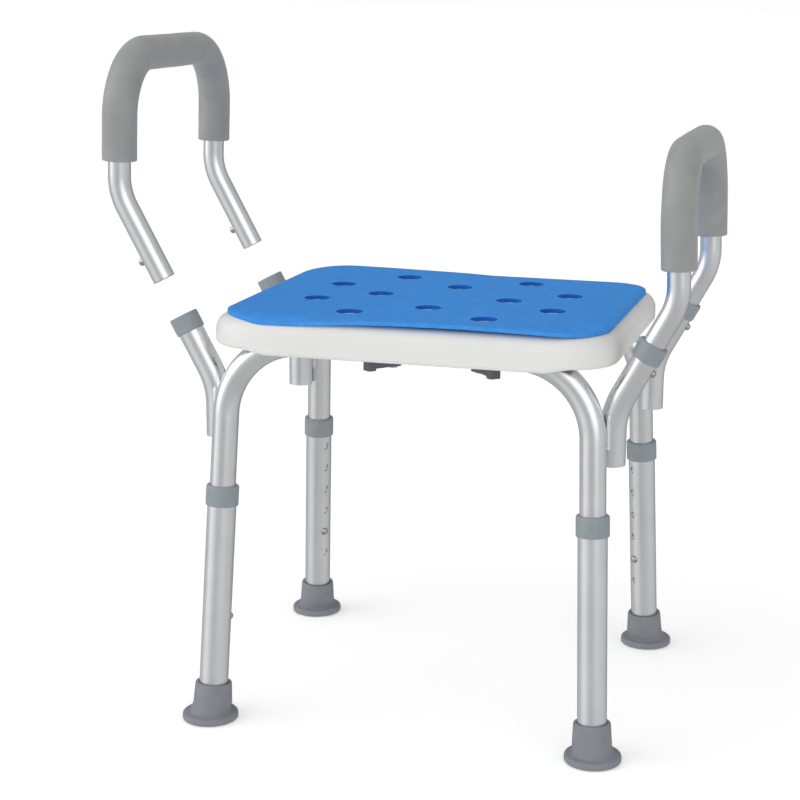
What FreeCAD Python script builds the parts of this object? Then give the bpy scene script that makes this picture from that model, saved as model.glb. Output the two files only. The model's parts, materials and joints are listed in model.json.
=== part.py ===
"""Shower stool with a padded seat, four telescoping legs and two removable armrests.

Millimetres, +Z up, +Y to the rear, +X to the stool's right-hand side as seen from the front.
The origin is on the floor, midway between the four feet.
The left armrest is drawn pulled out of its sockets; the right armrest is locked home.
"""
import FreeCAD
import Part
import Sketcher
import math
import os

Vector = FreeCAD.Vector
doc = FreeCAD.newDocument("shower_stool")

DIMENSIONS = {
    # Seat: a blow-moulded slab with stepped ends underneath.
    "seat_width": 400, "seat_depth": 326, "seat_corner": 50, "seat_top": 408, "seat_thick": 34,
    "seat_top_round": 16, "seat_low_round": 4.5, "step_start": 137, "step_end": 160, "step_rise": 4.5,
    "slot_half": 166, "slot_width": 30, "slot_roof": 396.7, "slot_offset": 1,
    "cavity_width": 372, "cavity_depth": 194, "cavity_corner": 25, "cavity_low": 384, "cavity_high": 404.5,
    "deep_cavity_width": 268, "deep_cavity_low": 377.5, "drain_dia": 14, "drain_wall": 3,
    # Pad: a foam sheet with twelve round drain holes.
    "pad_width": 380, "pad_depth": 318, "pad_corner": 52, "pad_thick": 4, "pad_hole_dia": 25.4,
    "hole_x_inner": 67.3, "hole_x_outer": 121.6,
    "hole_y_outer": 107.7, "hole_y_mid": 63.7, "hole_y_inner": 44.5,
    # Frame: two inverted U tubes whose legs lean outwards.
    "tube_dia": 25.4, "tube_wall": 1.3, "bend_rad": 76.2, "run_height": 383.5, "run_setback": 138.5,
    "corner_reach": 179.85, "leg_lean": 4.62, "lean_heading": 61.8, "frame_foot": 60,
    # Telescoping lower legs, their collars and feet.
    "leg_dia": 28.6, "leg_wall": 1.3, "leg_start": 4.5, "leg_end": 237.5, "hole_pitch": 26,
    "lowest_hole": 78.1, "leg_hole_dia": 8.6, "leg_holes": 6, "used_hole": 2,
    "collar_dia": 32.4, "collar_low": 219.3, "collar_high": 239.8, "collar_bore": 25.9,
    "collar_top_round": 2.2, "collar_low_round": 0.8,
    "foot_flange_dia": 55.6, "foot_flange_thick": 6, "foot_flange_shift": 2,
    "foot_low_dia": 39.5, "foot_top_dia": 36.5, "foot_height": 37, "foot_sleeve_start": 3, "foot_round": 1.6,
    # Arm sockets beside each leg.
    "socket_reach": 198, "socket_inset": 123.2, "socket_low": 282.6, "socket_kink": 334, "socket_tilt": 28.3,
    "mouth_height": 401.6, "socket_collar_dia": 29, "socket_collar_length": 18, "socket_lip": 2,
    "socket_collar_round": 1.6, "arm_hole_depth": 26, "arm_hole_dia": 8.2,
    # Armrests.
    "arm_dia": 22.2, "arm_wall": 1.2, "arm_kink": 440.8, "arm_rise": 132.2, "arm_lean": 2, "arm_corner": 60,
    "arm_bend": 60, "arm_insertion": 50.5, "left_arm_lift": 90,
    "grip_dia": 34, "grip_bore": 22.3, "grip_start": 30.7,
    # Snap buttons and their spring clips.
    "leg_button_dia": 7.9, "leg_button_out": 17.3, "leg_button_seat": 10.2,
    "arm_button_dia": 7.5, "arm_button_out": 16.1, "arm_button_seat": 8.6,
    "flange_thick": 1.3, "flange_rim": 0.9, "button_flat": 0.6,
    "clip_thick": 0.7, "clip_width": 7, "clip_tail": 6, "clip_fold": 28, "clip_gap": 1.2, "clip_stand": 1.2,
    # Turn latches that hold the frame tubes in the seat, and their screws.
    "latch_setback": 112, "latch_shift": 21.5, "latch_spread": 43.5, "latch_hub_dia": 17, "latch_low": 362.5,
    "latch_high": 373.7, "latch_arm_high": 370.4, "latch_length": 32, "latch_width": 12, "latch_bevel": 2,
    "latch_tab": 8, "latch_tab_low": 360.5, "latch_bore": 4.3, "latch_turn_left": 52, "latch_turn_right": 48,
    "screw_dia": 4, "screw_head_dia": 9, "screw_head_thick": 2, "screw_top": 390,
    # Weld beads between legs and sockets.
    "bead_rad": 3.8, "bead_offset": 7.5, "bead_low": 298, "bead_high": 334,
}

OVERCUT = 1.0  # how far a cut runs past the solid it opens
NEAR = 0.01  # tolerance when an edge is told by its bounding box

sheet = doc.addObject("Spreadsheet::Sheet", "Dim")
for row, (alias, size) in enumerate(DIMENSIONS.items(), start=1):
    sheet.set(f"A{row}", alias)
    sheet.set(f"B{row}", str(size))
    sheet.setAlias(f"B{row}", alias)
doc.recompute()


def size(alias):
    """The number in the named cell."""
    return float(sheet.get(alias))


def worth(expression):
    """The value of an expression over the cells, such as "Dim.tube_dia / 2"."""
    return float(sheet.evalExpression(expression))


# ---------------------------------------------------------------- sketch and feature helpers

def new_body(name):
    body = doc.addObject("PartDesign::Body", name)
    body.Label = name
    return body


def new_sketch(body, role="XY_Plane", height=0.0):
    """A sketch on one of the body's own origin planes, moved along the plane's normal."""
    plane = next(f for f in body.Origin.OriginFeatures if f.Role == role)
    sketch = body.newObject("Sketcher::SketchObject", f"{body.Name}_sketch")
    sketch.AttachmentSupport = [(plane, "")]
    sketch.MapMode = "FlatFace"
    sketch.AttachmentOffset = FreeCAD.Placement(Vector(0, 0, height), FreeCAD.Rotation())
    return sketch


def bind(sketch, kind, targets, expression):
    """Adds a dimension to a sketch and ties it to the sheet."""
    unit = "deg" if kind == "Angle" else "mm"
    start_value = math.radians(worth(expression)) if kind == "Angle" else worth(expression)
    index = sketch.addConstraint(Sketcher.Constraint(kind, *targets, start_value))
    sketch.setExpression(f"Constraints[{index}]", f"({expression}) * 1 {unit}")


def add_circle(sketch, radius, x="0", y="0"):
    """A circle whose radius and centre are expressions over the sheet."""
    centre = Vector(worth(x), worth(y), 0)
    circle = sketch.addGeometry(Part.Circle(centre, Vector(0, 0, 1), worth(radius)), False)
    bind(sketch, "Radius", (circle,), radius)
    for kind, place, where in (("DistanceX", centre.x, x), ("DistanceY", centre.y, y)):
        if abs(place) > 1e-9:
            bind(sketch, kind, (-1, 1, circle, 3), where)
        else:
            axis = -2 if kind == "DistanceX" else -1
            sketch.addConstraint(Sketcher.Constraint("PointOnObject", circle, 3, axis))
    return circle


def add_polygon(sketch, points):
    """A closed chain of straight lines through (x, y) points."""
    corners = [Vector(x, y, 0) for x, y in points]
    first = sketch.GeometryCount
    for start, end in zip(corners, corners[1:] + corners[:1]):
        sketch.addGeometry(Part.LineSegment(start, end), False)
    count = len(corners)
    for step in range(count):
        following = first + (step + 1) % count
        sketch.addConstraint(Sketcher.Constraint("Coincident", first + step, 2, following, 1))
        sketch.addConstraint(Sketcher.Constraint("Block", first + step))


def add_rounded_rectangle(sketch, width, depth, corner):
    """A rectangle centred on the origin with rounded corners; all three are expressions."""
    half_x = worth(width) / 2
    half_y = worth(depth) / 2
    radius = worth(corner)
    first = sketch.GeometryCount
    ends = [
        ((-half_x + radius, -half_y), (half_x - radius, -half_y)),
        ((half_x, -half_y + radius), (half_x, half_y - radius)),
        ((half_x - radius, half_y), (-half_x + radius, half_y)),
        ((-half_x, half_y - radius), (-half_x, -half_y + radius)),
    ]
    for quarter, (start, end) in enumerate(ends):
        sketch.addGeometry(Part.LineSegment(Vector(*start, 0), Vector(*end, 0)), False)
        centre = Vector(math.copysign(half_x - radius, end[0]), math.copysign(half_y - radius, end[1]), 0)
        circle = Part.Circle(centre, Vector(0, 0, 1), radius)
        turn = math.radians(90 * (quarter - 1))
        sketch.addGeometry(Part.ArcOfCircle(circle, turn, turn + math.pi / 2), False)
    for step in range(0, 8, 2):
        line = first + step
        arc = line + 1
        sketch.addConstraint(Sketcher.Constraint("Tangent", line, 2, arc, 1))
        sketch.addConstraint(Sketcher.Constraint("Tangent", arc, 2, first + (step + 2) % 8, 1))
    sketch.addConstraint(Sketcher.Constraint("Horizontal", first))
    for arc in (3, 5, 7):
        sketch.addConstraint(Sketcher.Constraint("Equal", first + 1, first + arc))
    bind(sketch, "Radius", (first + 1,), corner)
    sketch.addConstraint(Sketcher.Constraint("Symmetric", first + 1, 3, first + 5, 3, -1, 1))
    bind(sketch, "Distance", (first, 1, first + 4), depth)
    bind(sketch, "Distance", (first + 2, 1, first + 6), width)


def add_path(sketch, start, heading, steps):
    """An open chain of tangent lines and arcs.

    start is an (x, y) point, heading an angle from the sketch's x axis in degrees, and each step is
    ("line", length) or ("arc", radius, turn), with lengths and angles as expressions; a negative turn
    goes clockwise.
    """
    point = Vector(*start, 0)
    angle = math.radians(heading)
    previous = None
    for step in steps:
        along = Vector(math.cos(angle), math.sin(angle), 0)
        if step[0] == "line":
            end = point + along * worth(step[1])
            part = sketch.addGeometry(Part.LineSegment(point, end), False)
            joint_in, joint_out = 1, 2
        else:
            turn = math.radians(worth(step[2]))
            side = math.copysign(1, turn)
            centre = point + Vector(-along.y, along.x, 0) * side * worth(step[1])
            middle = rotated(point, centre, turn / 2)
            end = rotated(point, centre, turn)
            part = sketch.addGeometry(Part.Arc(point, middle, end), False)
            joint_in, joint_out = (1, 2) if side > 0 else (2, 1)
            angle += turn
        if previous is None:
            sketch.addConstraint(Sketcher.Constraint("Block", part))
        else:
            sketch.addConstraint(Sketcher.Constraint("Tangent", previous[0], previous[1], part, joint_in))
            if step[0] == "line":
                bind(sketch, "Distance", (part,), step[1])
            else:
                bind(sketch, "Radius", (part,), step[1])
                bind(sketch, "Angle", (part,), step[2].lstrip("-"))
        previous = (part, joint_out)
        point = end


def rotated(point, centre, angle):
    offset = point - centre
    return centre + Vector(offset.x * math.cos(angle) - offset.y * math.sin(angle),
                           offset.x * math.sin(angle) + offset.y * math.cos(angle), 0)


def pad(body, sketch, length):
    feature = body.newObject("PartDesign::Pad", f"{body.Name}_boss")
    feature.Profile = sketch
    feature.Length = worth(length)
    feature.setExpression("Length", f"({length}) * 1 mm")
    return feature


def pocket(body, sketch, length, towards_normal=True, both_ways=False):
    """A pocket of a stated length, cut along the sketch's normal or against it."""
    feature = body.newObject("PartDesign::Pocket", f"{body.Name}_pocket")
    feature.Profile = sketch
    feature.Length = worth(length)
    feature.setExpression("Length", f"({length}) * 1 mm")
    feature.Reversed = towards_normal
    feature.Midplane = both_ways
    return feature


def pipe(body, profile, spine):
    feature = body.newObject("PartDesign::AdditivePipe", f"{body.Name}_pipe")
    feature.Profile = profile
    feature.Spine = spine
    return feature


def mirror(body, features, role="YZ_Plane"):
    plane = next(f for f in body.Origin.OriginFeatures if f.Role == role)
    feature = body.newObject("PartDesign::Mirrored", f"{body.Name}_mirror")
    feature.Originals = features
    feature.MirrorPlane = (plane, [""])
    body.Tip = feature
    return feature


def rod(name, diameter, length, placement):
    """A plain cylinder along its own Z axis, used as a cutting tool or a simple solid."""
    cylinder = doc.addObject("Part::Cylinder", name)
    cylinder.setExpression("Radius", f"({diameter}) / 2 * 1 mm")
    cylinder.setExpression("Height", f"({length}) * 1 mm")
    cylinder.Placement = placement
    return cylinder


def cut(name, base, tools):
    """Cuts one or several tools out of a base and labels the result as a sub-part."""
    tool = tools[0]
    if len(tools) > 1:
        tool = doc.addObject("Part::MultiFuse", f"{name}_tools")
        tool.Shapes = tools
    base.Label = f"{name}_blank"
    result = doc.addObject("Part::Cut", name)
    result.Base = base
    result.Tool = tool
    result.Label = name
    return result


def aimed(origin, z_dir, x_dir):
    """A placement whose Z axis points along z_dir and whose X axis is as near x_dir as it can be."""
    return FreeCAD.Placement(origin, FreeCAD.Rotation(x_dir, Vector(), z_dir, "ZXY"))


# ---------------------------------------------------------------- leg geometry

SIDES = {"left": -1, "right": 1}
ENDS = {"front": -1, "rear": 1}
HOLE_TURNS = {("front", "left"): 45, ("front", "right"): 45, ("rear", "left"): 52, ("rear", "right"): 36}

lean = math.tan(math.radians(size("leg_lean")))
heading = math.radians(size("lean_heading"))
lean_x = lean * math.cos(heading)
lean_y = lean * math.sin(heading)
frame_tilt = math.atan(lean_y)
leg_splay = math.degrees(math.atan(lean_x * math.cos(frame_tilt)))
foot_x = size("corner_reach") + size("run_height") * lean_x
foot_y = size("run_setback") + size("run_height") * lean_y


def foot_point(side, end):
    return Vector(SIDES[side] * foot_x, ENDS[end] * foot_y, 0)


def leg_axis(side, end):
    """The upward direction of a leg."""
    return Vector(-SIDES[side] * lean_x, -ENDS[end] * lean_y, 1).normalize()


def inward(side, end):
    """The level direction that a leg's button holes face, towards the middle of the stool."""
    turn = math.radians(HOLE_TURNS[(end, side)])
    return Vector(-SIDES[side] * math.sin(turn), -ENDS[end] * math.cos(turn), 0)


def outward(side, end):
    """The level direction away from the middle of the stool, opposite to the leg's lean."""
    return Vector(SIDES[side] * math.cos(heading), ENDS[end] * math.sin(heading), 0)


def leg_placement(side, end):
    return aimed(foot_point(side, end), leg_axis(side, end), inward(side, end))


BUTTON_HEIGHT = "Dim.lowest_hole + (Dim.used_hole - 1) * Dim.hole_pitch"


def radial_placement(axis_placement, distance):
    """A placement at a distance along an axis, with Z pointing out along that axis's X direction."""
    origin = axis_placement.multVec(Vector(0, 0, distance))
    return aimed(origin, axis_placement.Rotation.multVec(Vector(1, 0, 0)),
                 axis_placement.Rotation.multVec(Vector(0, 0, 1)))


# ---------------------------------------------------------------- seat and pad

HOLE_PLACES = (
    [(sx, "hole_x_inner", sy, "hole_y_outer") for sx in (-1, 1) for sy in (-1, 1)]
    + [(0, "hole_x_inner", sy, "hole_y_mid") for sy in (-1, 1)]
    + [(sx, "hole_x_outer", sy, "hole_y_inner") for sx in (-1, 1) for sy in (-1, 1)]
    + [(sx, "hole_x_inner", 0, "hole_y_mid") for sx in (-1, 1)]
)


def add_hole_circles(sketch, radius, places=HOLE_PLACES):
    for sx, x_cell, sy, y_cell in places:
        add_circle(sketch, radius, f"{sx} * Dim.{x_cell}", f"{sy} * Dim.{y_cell}")


def make_seat():
    body = new_body("seat")
    outline = new_sketch(body, height=size("seat_top") - size("seat_thick"))
    add_rounded_rectangle(outline, "Dim.seat_width", "Dim.seat_depth", "Dim.seat_corner")
    pad(body, outline, "Dim.seat_thick")

    ends = new_sketch(body, "XZ_Plane")
    floor = size("seat_top") - size("seat_thick")
    step = floor + size("step_rise")
    beyond = size("seat_width")
    for sx in (-1, 1):
        add_polygon(ends, [(sx * size("step_start"), floor), (sx * size("step_end"), step),
                           (sx * beyond, step), (sx * beyond, floor - OVERCUT),
                           (sx * size("step_start"), floor - OVERCUT)])
    pocket(body, ends, "2 * Dim.seat_depth", both_ways=True)
    doc.recompute()

    add_fillet(body, "Dim.seat_top_round", lambda box: box.ZMin > size("seat_top") - NEAR)
    add_fillet(body, "Dim.seat_low_round", lambda box: box.ZMax < step + NEAR and on_outline(box))

    deep = new_sketch(body, height=size("deep_cavity_low"))
    add_rounded_rectangle(deep, "Dim.deep_cavity_width", "Dim.cavity_depth", "Dim.cavity_corner")
    middle_holes = [place for place in HOLE_PLACES if place[3] != "hole_y_outer"]
    add_hole_circles(deep, "Dim.drain_dia / 2 + Dim.drain_wall", middle_holes)
    pocket(body, deep, f"Dim.cavity_low + {OVERCUT} - Dim.deep_cavity_low")
    shallow = new_sketch(body, height=size("cavity_low"))
    add_rounded_rectangle(shallow, "Dim.cavity_width", "Dim.cavity_depth", "Dim.cavity_corner")
    add_hole_circles(shallow, "Dim.drain_dia / 2 + Dim.drain_wall", middle_holes)
    pocket(body, shallow, "Dim.cavity_high - Dim.cavity_low")

    drains = new_sketch(body, height=floor - OVERCUT)
    add_hole_circles(drains, "Dim.drain_dia / 2")
    pocket(body, drains, f"Dim.seat_thick + 2 * {OVERCUT}")
    screws = new_sketch(body, height=floor - OVERCUT)
    for x, y in latch_places():
        add_circle(screws, "Dim.screw_dia / 2", str(x), str(y))
    pocket(body, screws, f"Dim.screw_top + 2 * {OVERCUT} - (Dim.seat_top - Dim.seat_thick)")
    for sy in (-1, 1):
        cut_tube_slot(body, sy)
    return body


def on_outline(box):
    """True for an edge that lies on the seat's rim rather than across its underside."""
    across = box.YLength > size("seat_depth") - NEAR
    return not across


def add_fillet(body, radius, wanted):
    """Rounds every edge of the body's tip whose bounding box is wanted."""
    tip = body.Tip
    names = [f"Edge{i}" for i, edge in enumerate(tip.Shape.Edges, start=1) if wanted(edge.BoundBox)]
    feature = body.newObject("PartDesign::Fillet", f"{body.Name}_fillet")
    feature.Base = (tip, names)
    feature.Radius = worth(radius)
    feature.setExpression("Radius", f"({radius}) * 1 mm")
    doc.recompute()
    return feature


def cut_tube_slot(body, sy):
    """A round-roofed groove along X that a frame tube lies in, open at the bottom."""
    section = new_sketch(body, "YZ_Plane")
    half = size("slot_width") / 2
    centre_y = sy * (size("run_setback") + size("slot_offset"))
    roof = Vector(centre_y, size("slot_roof"), 0)
    spring = size("slot_roof") - half
    bottom = size("seat_top") - size("seat_thick") - OVERCUT
    low_near, low_far = Vector(centre_y - half, bottom, 0), Vector(centre_y + half, bottom, 0)
    high_near, high_far = Vector(centre_y - half, spring, 0), Vector(centre_y + half, spring, 0)
    outline = [Part.LineSegment(low_near, low_far), Part.LineSegment(low_far, high_far),
               Part.Arc(high_far, roof, high_near), Part.LineSegment(high_near, low_near)]
    for edge in outline:
        section.addConstraint(Sketcher.Constraint("Block", section.addGeometry(edge, False)))
    pocket(body, section, "2 * Dim.slot_half", both_ways=True)


def make_pad():
    body = new_body("seat_pad")
    outline = new_sketch(body, height=size("seat_top"))
    add_rounded_rectangle(outline, "Dim.pad_width", "Dim.pad_depth", "Dim.pad_corner")
    add_hole_circles(outline, "Dim.pad_hole_dia / 2")
    pad(body, outline, "Dim.pad_thick")
    return body


# ---------------------------------------------------------------- frame tubes

def make_frame_tube(end):
    """Half of an inverted U is swept from its middle and mirrored, then leaned to its side."""
    name = f"{end}_frame_tube"
    body = new_body(name)
    ring = new_sketch(body, "YZ_Plane")
    add_circle(ring, "Dim.tube_dia / 2")
    add_circle(ring, "Dim.tube_dia / 2 - Dim.tube_wall")
    spine = new_sketch(body, "XZ_Plane")
    bend = 90 - leg_splay
    tangent = size("bend_rad") * math.tan(math.radians(bend / 2))
    height = size("run_height") - size("frame_foot")
    drop = height / math.cos(frame_tilt) / math.cos(math.radians(leg_splay))
    add_path(spine, (0, 0), 0, [("line", f"Dim.corner_reach - {tangent}"),
                                ("arc", "Dim.bend_rad", f"-{bend}"),
                                ("line", f"{drop - tangent}")])
    half = pipe(body, ring, spine)
    mirror(body, [half])
    origin = Vector(0, ENDS[end] * size("run_setback"), size("run_height"))
    lean = FreeCAD.Rotation(Vector(1, 0, 0), ENDS[end] * math.degrees(frame_tilt))
    body.Placement = FreeCAD.Placement(origin, lean)
    drills = []
    for side in SIDES:
        place = radial_placement(leg_placement(side, end), worth(BUTTON_HEIGHT))
        drills.append(rod(f"{end}_{side}_frame_drill", "Dim.leg_hole_dia", "Dim.leg_dia", place))
    return cut(name, body, drills)


# ---------------------------------------------------------------- telescoping legs

def make_leg_tube(side, end):
    body = new_body(f"{end}_{side}_leg_tube")
    ring = new_sketch(body, height=size("leg_start"))
    add_circle(ring, "Dim.leg_dia / 2")
    add_circle(ring, "Dim.leg_dia / 2 - Dim.leg_wall")
    pad(body, ring, "Dim.leg_end - Dim.leg_start")
    holes = new_sketch(body, "YZ_Plane")
    for step in range(int(size("leg_holes"))):
        add_circle(holes, "Dim.leg_hole_dia / 2", "0", f"Dim.lowest_hole + {step} * Dim.hole_pitch")
    pocket(body, holes, "Dim.leg_dia")
    body.Placement = leg_placement(side, end)
    return body


def make_leg_collar(side, end):
    body = new_body(f"{end}_{side}_leg_collar")
    sleeve = new_sketch(body, height=size("collar_low"))
    add_circle(sleeve, "Dim.collar_dia / 2")
    add_circle(sleeve, "Dim.leg_dia / 2")
    pad(body, sleeve, "Dim.leg_end - Dim.collar_low")
    lip = new_sketch(body, height=size("leg_end"))
    add_circle(lip, "Dim.collar_dia / 2")
    add_circle(lip, "Dim.collar_bore / 2")
    pad(body, lip, "Dim.collar_high - Dim.leg_end")
    doc.recompute()
    rim = worth("Dim.collar_dia") - NEAR
    middle = worth("(Dim.collar_low + Dim.collar_high) / 2")
    for radius, side_of_middle in (("Dim.collar_top_round", 1), ("Dim.collar_low_round", -1)):
        add_fillet(body, radius, lambda box, s=side_of_middle: box.XLength > rim and box.ZLength < NEAR
                   and (box.ZMin - middle) * s > 0)
    body.Placement = leg_placement(side, end)
    return body


def make_foot(side, end):
    """A level flange on the floor with a tapered socket that follows the leg's lean."""
    name = f"{end}_{side}_foot"
    floor_point = foot_point(side, end)
    flange = doc.addObject("Part::Cylinder", f"{name}_flange")
    flange.setExpression("Radius", "Dim.foot_flange_dia / 2 * 1 mm")
    flange.setExpression("Height", "Dim.foot_flange_thick * 1 mm")
    flange.Placement.Base = floor_point + outward(side, end) * size("foot_flange_shift")
    sleeve = doc.addObject("Part::Cone", f"{name}_sleeve")
    sleeve.setExpression("Radius1", "Dim.foot_low_dia / 2 * 1 mm")
    sleeve.setExpression("Radius2", "Dim.foot_top_dia / 2 * 1 mm")
    sleeve.setExpression("Height", "(Dim.foot_height - Dim.foot_sleeve_start) * 1 mm")
    place = leg_placement(side, end)
    start = place.multVec(Vector(0, 0, size("foot_sleeve_start")))
    sleeve.Placement = FreeCAD.Placement(start, place.Rotation)
    whole = doc.addObject("Part::Fuse", f"{name}_solid")
    whole.Base = flange
    whole.Tool = sleeve
    doc.recompute()
    rounded = doc.addObject("Part::Fillet", f"{name}_rounded")
    rounded.Base = whole
    radius = size("foot_round")
    rounded.Edges = [(i, radius, radius) for i, edge in enumerate(whole.Shape.Edges, start=1)
                     if edge.Closed and edge.BoundBox.ZMax > radius]
    bore_place = FreeCAD.Placement(place.multVec(Vector(0, 0, size("leg_start"))), place.Rotation)
    bore = rod(f"{name}_bore", "Dim.leg_dia", "Dim.foot_height", bore_place)
    return cut(name, rounded, [bore])


# ---------------------------------------------------------------- arm sockets and armrests

tilt = math.radians(size("socket_tilt"))
mouth_x = size("socket_reach") + (size("mouth_height") - size("socket_kink")) * math.tan(tilt)


def slide_axis(side):
    """The upward direction along a socket's inclined bore."""
    return Vector(SIDES[side] * math.sin(tilt), 0, math.cos(tilt))


def mouth_placement(side, end, depth=0.0):
    """A placement on a socket's axis, depth below its mouth, with X pointing out and down."""
    axis = slide_axis(side)
    mouth = Vector(SIDES[side] * mouth_x, ENDS[end] * size("socket_inset"), size("mouth_height"))
    outward = Vector(SIDES[side] * math.cos(tilt), 0, -math.sin(tilt))
    return aimed(mouth - axis * depth, axis, outward)


def make_socket_tube(side, end):
    name = f"{end}_{side}_arm_socket"
    body = new_body(name)
    ring = new_sketch(body)
    add_circle(ring, "Dim.tube_dia / 2")
    add_circle(ring, "Dim.tube_dia / 2 - Dim.tube_wall")
    spine = new_sketch(body, "XZ_Plane")
    tangent = size("bend_rad") * math.tan(tilt / 2)
    inclined = (size("mouth_height") - size("socket_kink")) / math.cos(tilt) - size("socket_lip")
    turn = "-Dim.socket_tilt"
    add_path(spine, (0, 0), 90, [("line", f"Dim.socket_kink - Dim.socket_low - {tangent}"),
                                 ("arc", "Dim.bend_rad", turn), ("line", f"{inclined - tangent}")])
    pipe(body, ring, spine)
    origin = Vector(SIDES[side] * size("socket_reach"), ENDS[end] * size("socket_inset"), size("socket_low"))
    half_turn = 180 if side == "left" else 0
    body.Placement = FreeCAD.Placement(origin, FreeCAD.Rotation(Vector(0, 0, 1), half_turn))
    place = radial_placement(mouth_placement(side, end), -size("arm_hole_depth"))
    return cut(name, body, [rod(f"{name}_drill", "Dim.arm_hole_dia", "Dim.tube_dia", place)])


def make_socket_collar(side, end):
    body = new_body(f"{end}_{side}_socket_collar")
    sleeve = new_sketch(body, height=-size("socket_collar_length"))
    add_circle(sleeve, "Dim.socket_collar_dia / 2")
    add_circle(sleeve, "Dim.tube_dia / 2")
    pad(body, sleeve, "Dim.socket_collar_length - Dim.socket_lip")
    lip = new_sketch(body, height=-size("socket_lip"))
    add_circle(lip, "Dim.socket_collar_dia / 2")
    add_circle(lip, "Dim.tube_dia / 2 - Dim.tube_wall")
    pad(body, lip, "Dim.socket_lip")
    doc.recompute()
    rim = worth("Dim.socket_collar_dia") - NEAR
    add_fillet(body, "Dim.socket_collar_round", lambda box: box.XLength > rim and box.ZLength < NEAR)
    body.Placement = mouth_placement(side, end)
    return body


kink_x = mouth_x + (size("arm_kink") - size("mouth_height")) * math.tan(tilt)
arm_turn = size("socket_tilt") + size("arm_lean")
arm_tangent = size("arm_bend") * math.tan(math.radians(arm_turn / 2))


def lifted(side, placement):
    """Moves a placement with its armrest: the left one is drawn pulled out of its sockets."""
    lift = size("left_arm_lift") if side == "left" else 0
    return FreeCAD.Placement(slide_axis(side) * lift, FreeCAD.Rotation()).multiply(placement)


def loop_placement(side):
    """The loop's own frame starts at the kink, with Z up its leaning uprights and X away from the seat."""
    origin = Vector(SIDES[side] * kink_x, 0, size("arm_kink"))
    lean_turn = FreeCAD.Rotation(Vector(0, 1, 0), -size("arm_lean"))
    half_turn = FreeCAD.Rotation(Vector(0, 0, 1), 180 if side == "left" else 0)
    return lifted(side, FreeCAD.Placement(origin, half_turn.multiply(lean_turn)))


def add_half_loop(body, radii, low_end):
    """Sweeps one end of an armrest: half the top bar, the corner and the upright down to low_end."""
    ring = new_sketch(body, "XZ_Plane")
    for radius in radii:
        add_circle(ring, radius, "0", "Dim.arm_rise")
    spine = new_sketch(body, "YZ_Plane")
    upright = size("arm_rise") - size("arm_corner") - low_end
    add_path(spine, (0, size("arm_rise")), 0, [("line", "Dim.socket_inset - Dim.arm_corner"),
                                               ("arc", "Dim.arm_corner", "-90"), ("line", f"{upright}")])
    return pipe(body, ring, spine)


def make_arm_tube(side):
    """A loop whose uprights bend back towards the stool to enter the two sockets."""
    name = f"{side}_arm_tube"
    body = new_body(name)
    radii = ("Dim.arm_dia / 2", "Dim.arm_dia / 2 - Dim.arm_wall")
    upper = add_half_loop(body, radii, arm_tangent)
    ring = new_sketch(body, height=arm_tangent)
    for radius in radii:
        add_circle(ring, radius, "0", "Dim.socket_inset")
    spine = new_sketch(body, "XZ_Plane", -size("socket_inset"))
    stub = (size("arm_kink") - size("mouth_height")) / math.cos(tilt) + size("arm_insertion")
    add_path(spine, (0, arm_tangent), -90,
             [("arc", "Dim.arm_bend", f"-{arm_turn}"), ("line", f"{stub - arm_tangent}")])
    lower = pipe(body, ring, spine)
    mirror(body, [upper, lower], "XZ_Plane")
    body.Placement = loop_placement(side)
    drills = []
    for end in ENDS:
        place = lifted(side, radial_placement(mouth_placement(side, end), -size("arm_hole_depth")))
        drills.append(rod(f"{end}_{name}_drill", "Dim.arm_hole_dia", "Dim.arm_dia", place))
    return cut(name, body, drills)


def make_arm_grip(side):
    body = new_body(f"{side}_arm_grip")
    half = add_half_loop(body, ("Dim.grip_dia / 2", "Dim.grip_bore / 2"), size("grip_start"))
    mirror(body, [half], "XZ_Plane")
    body.Placement = loop_placement(side)
    return body


# ---------------------------------------------------------------- snap buttons and clips

def make_button(name, diameter, out, seat, placement):
    """A domed pin with a flange that bears on its clip, drawn along Z from the tube's axis."""
    body = new_body(name)
    flange = new_sketch(body, height=worth(f"{seat} - Dim.flange_thick"))
    add_circle(flange, f"{diameter} / 2 + Dim.flange_rim")
    pad(body, flange, "Dim.flange_thick")
    pin = new_sketch(body, height=worth(seat))
    add_circle(pin, f"{diameter} / 2")
    pad(body, pin, f"{out} - {seat}")
    doc.recompute()
    top = worth(out) - NEAR
    add_fillet(body, f"{diameter} / 2 - Dim.button_flat", lambda box: box.ZMin > top)
    body.Placement = placement
    return body


def make_clip(name, seat, bore, placement):
    """A folded leaf spring: one leaf carries the button, the other bears on the tube's far wall."""
    body = new_body(name)
    profile = new_sketch(body, "XZ_Plane")
    near = worth(f"{seat} - Dim.flange_thick")
    far = -worth(f"{bore} / 2 - Dim.clip_stand")
    thick = size("clip_thick")
    tail = size("clip_tail")
    fold = size("clip_fold")
    gap = size("clip_gap")
    nose = fold + 2 * thick
    outside = [(-tail, near), (tail, near), (fold, gap), (nose, 0), (fold, -gap), (-tail, far)]
    inside = [(-tail, far + thick), (fold - thick, thick - gap), (nose - 2 * thick, 0),
              (fold - thick, gap - thick), (tail - thick / 2, near - thick), (-tail, near - thick)]
    add_polygon(profile, outside + inside)
    feature = pad(body, profile, "Dim.clip_width")
    feature.Midplane = True
    body.Placement = placement
    return body


# ---------------------------------------------------------------- seat latches

def latch_places():
    """Screw centres as (x, y): the rear pair is the front pair turned half round."""
    shift = size("latch_shift")
    spread = size("latch_spread")
    setback = size("latch_setback")
    front = [(shift + sx * spread, -setback) for sx in (-1, 1)]
    return front + [(-x, -y) for x, y in front]


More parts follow.
